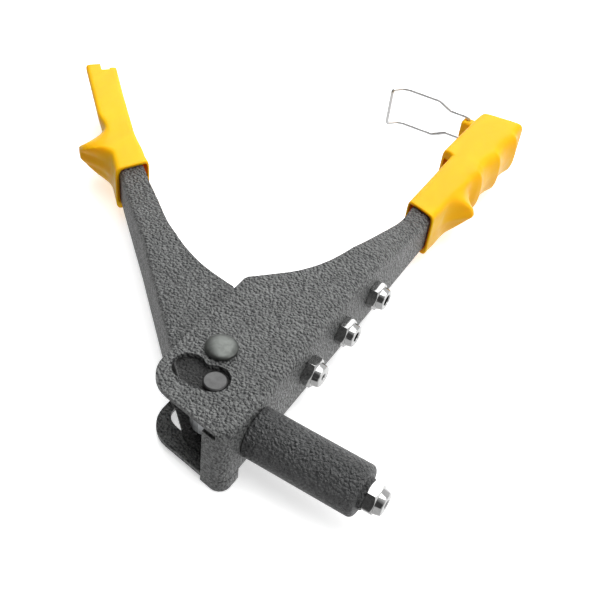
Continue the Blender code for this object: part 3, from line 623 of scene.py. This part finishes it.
def build_grips(mat):
    """Both grips: one with the latch's lug, hinge hole and a pocket, one with the latch's catch."""
    fixed = grip_piece(FIXED_GRIP)
    fixed = carve(fixed, box_mesh(*LUG, 1.6), "UNION")
    fixed = carve(fixed, rod_mesh(LATCH, LUG_HOLE, 5, 26))
    fixed = carve(fixed, box_mesh(*BACK_POCKET, 0.5))
    bmesh.ops.transform(fixed, matrix=TO_WORLD, verts=fixed.verts)
    place("fixed_grip_moulding", fixed, mat, "frame", ["fixed_grip"], 42)

    below, above = PAST_SIDES
    moving = grip_piece(MOVING_GRIP)
    moving = carve(moving, box_mesh((CATCH_FLOOR, CATCH_FROM, below), (15.5, PAST_END, above), 0.6))
    for low, high in ((below, MID_Z - LEG_RECESS_HALF), (MID_Z + LEG_RECESS_HALF, above)):
        moving = carve(moving, box_mesh((0, LEG_RECESS_FROM, low), (11.0, PAST_END, high), 0.4))
    bmesh.ops.transform(moving, matrix=TO_WORLD @ handle_matrix(), verts=moving.verts)
    place("moving_grip_moulding", moving, mat, "handle", ["moving_grip"], 42)


def build_latch(mat):
    """Wire bail with rounded bends; its leg is (x, y, distance from the middle plane)."""
    wire, bend = 0.9, 2.2
    leg = [(*LATCH, 2.2), (*LATCH, 6.4), (-22.0, 233.1, 6.9), (-30.5, 232.6, 6.9),
           (-37.5, 232.0, 10.5), (-55.0, 230.9, 10.5), (-58.4, 229.6, 10.5), (-61.6, 225.6, 10.5),
           (-62.0, 224.9, 9.4)]
    lower = [Vector((x, y, MID_Z - h)) for x, y, h in leg]
    upper = [Vector((x, y, MID_Z + h)) for x, y, h in reversed(leg)]
    bm = sweep(fillet_path(lower + upper, bend), wire, 14)
    bmesh.ops.transform(bm, matrix=TO_WORLD, verts=bm.verts)
    place("latch_wire", bm, mat, "latch", ["wire_latch"], 60)


def place_upright(name, profile, steps, x, y, mat, body, node, slot, crease):
    """Places a turned piece with its axis upright through (x, y)."""
    bm = turned(profile, steps)
    turn = Matrix.Translation((x, y, MID_Z)) @ Matrix.Rotation(-math.pi / 2, 4, "Y")
    bmesh.ops.transform(bm, matrix=TO_WORLD @ turn, verts=bm.verts)
    bmesh.ops.recalc_face_normals(bm, faces=bm.faces)
    place(name, bm, mat, body, [node], crease)


def build_rivet(mat):
    """Pivot rivet with a domed head on each side and a softly rolled rim."""
    head, shank, seat, top = 6.4, 4.0, MID_Z + 15.8, 2.9
    dome_base, dome_height, dome_power = 1.1 * 0.75, 2.05, 0.92
    crown = [(seat + dome_base + dome_height * math.sin(a), head * math.cos(a) ** dome_power)
             for a in (math.radians(6 * i) for i in range(1, 15))]
    half = [(MID_Z, shank), (seat, shank), (seat, head - 0.35), (seat + 0.12, head - 0.1),
            (seat + 0.4, head)] + crown + [(seat + top, 0)]
    profile = [(a - MID_Z, r) for a, r in half]
    profile += [(-a, r) for a, r in reversed(profile[1:])]
    place_upright("pivot_rivet_head", profile, 80, *PIVOT, mat, "frame", "pivot_rivet",
                  "rivet_steel", 50)


def build_barrel(mat):
    """Barrel with rolled front edge, its collar and a bored back."""
    back, web, front, bore_end = -6.0, 0.3, 45.8, 38.5
    tube, spigot, collar, bore, nose_bore = 10.2, 9.3, 6.2, 8.25, 4.0
    points = [(back, bore), (back, spigot), (web, spigot), (web, tube), (front, tube),
              (front, collar), (NOSE_SEAT, collar), (NOSE_SEAT, nose_bore), (bore_end, nose_bore),
              (bore_end, bore)]
    radii = [0.2, 0.4, 0, 0.5, 1.9, 0.5, 0.5, 0.2, 0, 0]
    bm = turned(rounded(points, radii), 96)
    bmesh.ops.transform(bm, matrix=TO_WORLD @ Matrix.Translation((0, 0, MID_Z)), verts=bm.verts)
    place("barrel_tube", bm, mat, "frame", ["barrel"], 40)


def build_pin(mat):
    """Headed pull pin with bright chamfers."""
    top, thick, shank, head = 2 * MID_Z, 1.4, 3.5, 4.6
    half = [(top - thick, shank), (top - thick, head - 0.15), (top - 1.25, head),
            (top - 0.55, head), (top - 0.42, 4.55), (top - 0.06, 4.16), (top, 4.05), (top, 0)]
    profile = half + [(top - a, r) for a, r in reversed(half)]
    place_upright("pin_head", [(a - MID_Z, r) for a, r in profile], 72, PULL_PIN_X, 0, mat,
                  "handle", "pull_pin", "pin_steel", 25)


def rounded_hexagon(across, radius, turn):
    """Hexagon outline with softened corners as (angle, distance) points."""
    reach = (across - radius) / math.cos(math.pi / 6)
    points = []
    for side in range(6):
        base = 60 * side + turn
        a = math.radians(base - 30)
        points += arc((reach * math.cos(a), reach * math.sin(a)), radius, base - 60, base, 5)
        half = (across - radius) * math.tan(math.pi / 6)
        for k in range(1, 12):
            along = lerp(-half, half, k / 12)
            c, s = math.cos(math.radians(base)), math.sin(math.radians(base))
            points.append((across * c - along * s, across * s + along * c))
    return [(math.atan2(v, u), math.hypot(u, v)) for u, v in points]


# A nosepiece's bore is a radius. Its turn is in degrees, and 30 puts one flat on top.
FITTED_BORE = 1.7
FITTED_TURN = 30
SPARES = ((1.3, 18), (2.1, 30), (2.5, 33))
SPARE_FIRST = 37.3
SPARE_PITCH = 26.6


def build_nose(name, node, seat, y, bore, turn, mat):
    """Nosepiece: hexagon with turned corners, a low cone with a bore, and its shank."""
    across, corner, length, tip, end = 5.55, 0.3, 4.2, 7.0, -13.2
    face = across - 0.15
    before = [(end, bore), (end, bore + 0.7), (-9.0, 3.55), (0.0, 3.6), (0.0, face)]
    after = [(length, face), (length + 0.08, 5.05), (tip - 0.75, 4.66), (tip - 0.3, 4.5),
             (tip - 0.08, 4.3), (tip, 4.1), (tip, bore + 0.35), (tip - 0.35, bore)]
    bm = bmesh.new()
    columns = []
    for angle, reach in rounded_hexagon(across, corner, turn):
        over = reach - face
        profile = before + [(0.45 * over, reach), (length - 0.7 * over, reach)] + after
        out = Vector((0, math.cos(angle), math.sin(angle)))
        centre = Vector((seat, y, MID_Z))
        columns.append([bm.verts.new(centre + Vector((x, 0, 0)) + out * r) for x, r in profile])
    rows = len(columns[0])
    for a, b in zip(columns, columns[1:] + columns[:1]):
        for i in range(rows):
            j = (i + 1) % rows
            bm.faces.new((a[i], a[j], b[j], b[i]))
    bmesh.ops.transform(bm, matrix=TO_WORLD, verts=bm.verts)
    bmesh.ops.recalc_face_normals(bm, faces=bm.faces)
    place(name, bm, mat, "frame", [node], 22)


def build_spring(mat):
    """Return spring, a round wire coiled round the X axis."""
    start, end, radius, wire, turns, steps = -4.5, 13.2, 6.9, 0.55, 4.5, 36
    total = int(turns * steps)
    points = []
    for i in range(total + 1):
        turn = 2 * math.pi * turns * i / total
        along = lerp(start + wire, end - wire, smooth(i / total, -0.06, 1.06))
        points.append(Vector((along, radius * math.cos(turn), MID_Z + radius * math.sin(turn))))
    bm = sweep(points, wire, 10)
    bmesh.ops.transform(bm, matrix=TO_WORLD, verts=bm.verts)
    obj = place("return_spring_coil", bm, mat, "frame", ["return_spring"], 60)
    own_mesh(obj)


# ---------------------------------------------------------------- stage

# The camera's angles are in radians, its place in the tool's millimetres.
CAMERA_PLACE = (102.37, -187.36, 290.52)
CAMERA_PITCH = 0.768263
CAMERA_AZIMUTH = 2.025963
CAMERA_ROLL = 0.137779
CAMERA_LENS = 56.736
FLOOR_HALF = 14.0
WORLD_BRIGHT_WAY = (0.35, 0.80, 0.49)
WORLD_FADE = (-0.15, 0.55, 0.09, 1.00)
WORLD_FILL = (-0.06, 0.02, 0.78, 0.0)
WHITE = (1.0, 1.0, 1.0, 1.0)


def build_camera():
    """Camera at the studio's viewing angle."""
    forward = Vector((math.cos(CAMERA_PITCH) * math.cos(CAMERA_AZIMUTH),
                      math.cos(CAMERA_PITCH) * math.sin(CAMERA_AZIMUTH), -math.sin(CAMERA_PITCH)))
    right = Vector((math.sin(CAMERA_AZIMUTH), -math.cos(CAMERA_AZIMUTH), 0))
    down = forward.cross(right)
    x_axis = right * math.cos(CAMERA_ROLL) - down * math.sin(CAMERA_ROLL)
    y_axis = -(right * math.sin(CAMERA_ROLL) + down * math.cos(CAMERA_ROLL))
    data = bpy.data.cameras.new("camera")
    data.sensor_width = 36.0
    data.lens = CAMERA_LENS
    data.clip_start = 0.01
    data.clip_end = 20.0
    cam = bpy.data.objects.new("camera", data)
    rows = Matrix((x_axis, y_axis, -forward)).transposed().to_4x4()
    cam.matrix_world = Matrix.Translation(TO_WORLD @ Vector(CAMERA_PLACE)) @ rows
    bpy.context.scene.collection.objects.link(cam)
    bpy.context.scene.camera = cam


def soft_box(name, where, size, radiance):
    """Square area light of the given radiance, turned to the middle of the stage."""
    data = bpy.data.lights.new(name, "AREA")
    data.shape = "SQUARE"
    data.size = size
    data.energy = radiance * math.pi * size * size
    lamp = bpy.data.objects.new(name, data)
    lamp.location = where
    lamp.rotation_euler = (-Vector(where)).to_track_quat("-Z", "Y").to_euler()
    bpy.context.scene.collection.objects.link(lamp)


def build_floor():
    """Pale floor that catches shadows but neither lights the tool nor shows in its chrome."""
    bm = bmesh.new()
    bmesh.ops.create_grid(bm, x_segments=8, y_segments=8, size=FLOOR_HALF)
    mesh = bpy.data.meshes.new("floor")
    bm.to_mesh(mesh)
    bm.free()
    floor = bpy.data.objects.new("floor", mesh)
    bpy.context.scene.collection.objects.link(floor)
    p = Paint("floor_white", (0.93, 0.93, 0.93), 0.85, 0.0)
    tone = p.noise(400.0, 2.0, 0.5)
    p.colour(p.blend(tone, (0.925, 0.925, 0.925), (0.945, 0.945, 0.945)))
    p.shader.inputs["Emission Color"].default_value = WHITE
    p.shader.inputs["Emission Strength"].default_value = 0.5
    mesh.materials.append(p.mat)
    floor.visible_diffuse = False
    floor.visible_glossy = False


def build_world():
    """White surroundings with a bright side, and a fill from below in place of floor bounce."""
    world = bpy.data.worlds.new("studio")
    world.use_nodes = True
    tree = world.node_tree
    way = tree.nodes.new("ShaderNodeTexCoord").outputs["Generated"]
    facing = tree.nodes.new("ShaderNodeVectorMath")
    facing.operation = "DOT_PRODUCT"
    facing.inputs[1].default_value = WORLD_BRIGHT_WAY
    tree.links.new(way, facing.inputs[0])
    apart = tree.nodes.new("ShaderNodeSeparateXYZ")
    tree.links.new(way, apart.inputs["Vector"])
    both = tree.nodes.new("ShaderNodeMath")
    both.operation = "ADD"
    tree.links.new(map_range(tree, facing.outputs["Value"], *WORLD_FADE), both.inputs[0])
    tree.links.new(map_range(tree, apart.outputs["Z"], *WORLD_FILL), both.inputs[1])
    back = tree.nodes["Background"]
    back.inputs["Color"].default_value = WHITE
    tree.links.new(both.outputs["Value"], back.inputs["Strength"])
    bpy.context.scene.world = world


def build_stage():
    """Floor, surroundings and soft studio lights."""
    build_floor()
    build_world()
    soft_box("back_box", (-0.45, 0.95, 0.95), 1.1, 2.4)
    soft_box("top_box", (0.1, 0.1, 1.3), 1.1, 3.1)
    soft_box("right_box", (1.1, 0.0, 0.75), 0.8, 1.4)
    bpy.context.scene.view_settings.view_transform = "Standard"


# ---------------------------------------------------------------- making

def main():
    """Builds every piece, gives the carried-over nodes their materials and sets the stage."""
    build_camera()
    # Each coat's two colours are the painted shade and painted highlight of its blisters; the
    # handle's coat also carries a painted shadow round the pull pin, inside the body's slot.
    body_coat = powder_coat("body_coat_look", (0.003, 0.004, 0.005), (0.178, 0.183, 0.179))
    handle_coat = powder_coat("handle_coat_look", (0.004, 0.005, 0.006), (0.162, 0.167, 0.163),
                              shadow=((-22.0, 7.0), 15.0, 24.0, 0.16))
    barrel_coat = powder_coat("barrel_coat_look", (0.006, 0.007, 0.008), (0.066, 0.068, 0.068))
    rivet_steel = satin_steel("rivet_steel_look", (0.080, 0.085, 0.080), (0.118, 0.125, 0.118), 0.34)
    pin_steel = satin_steel("pin_steel_look", (0.058, 0.058, 0.058), (0.088, 0.088, 0.088), 0.42)
    zinc = turned_steel("zinc_steel_look", (0.04, 0.041, 0.042), (0.08, 0.082, 0.084), 0.40)
    chrome = plated("nose_chrome_look", (0.44, 0.44, 0.437), 0.08)
    case_steel = turned_steel("case_steel_look", (0.26, 0.27, 0.28), (0.40, 0.41, 0.42), 0.34)
    jaw_steel = turned_steel("jaw_steel_look", (0.20, 0.20, 0.21), (0.33, 0.33, 0.34), 0.32)
    rod_steel = turned_steel("rod_steel_look", (0.34, 0.35, 0.36), (0.50, 0.51, 0.52), 0.32)
    spring_steel = satin_steel("spring_steel_look", (0.36, 0.37, 0.38), (0.55, 0.56, 0.57), 0.28,
                               1.0)
    wire_steel = plated("wire_steel_look", (0.74, 0.74, 0.74), 0.28)
    yellow = grip_plastic("grip_yellow_look")

    shell("body_shell", "body_frame", "frame", body_coat)
    shell("handle_shell", "moving_handle", "handle", handle_coat)
    build_nose("fitted_nose", "nosepiece", NOSE_SEAT, 0.0, FITTED_BORE, FITTED_TURN, chrome)
    for i, (bore, turn) in enumerate(SPARES):
        build_nose(f"spare_nose_{i + 1}", f"spare_nosepiece_{i + 1}", 0.0,
                   SPARE_FIRST + SPARE_PITCH * i, bore, turn, chrome)
    build_pin(pin_steel)
    build_rivet(rivet_steel)
    build_barrel(barrel_coat)
    build_spring(spring_steel)
    build_grips(yellow)
    build_latch(wire_steel)

    kept = {"pivot_spacer": zinc, "pin_spacer_upper": zinc, "pin_spacer_lower": zinc,
            "barrel_nut": zinc, "spring_washer": zinc, "lock_nut": zinc, "jaw_case": case_steel,
            "jaw_1": jaw_steel, "jaw_2": jaw_steel, "jaw_3": jaw_steel, "jaw_pusher": jaw_steel,
            "pull_rod": rod_steel, "jaw_spring": spring_steel}
    for name, mat in kept.items():
        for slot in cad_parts[name].material_slots:
            slot.material = mat
    build_stage()


main()
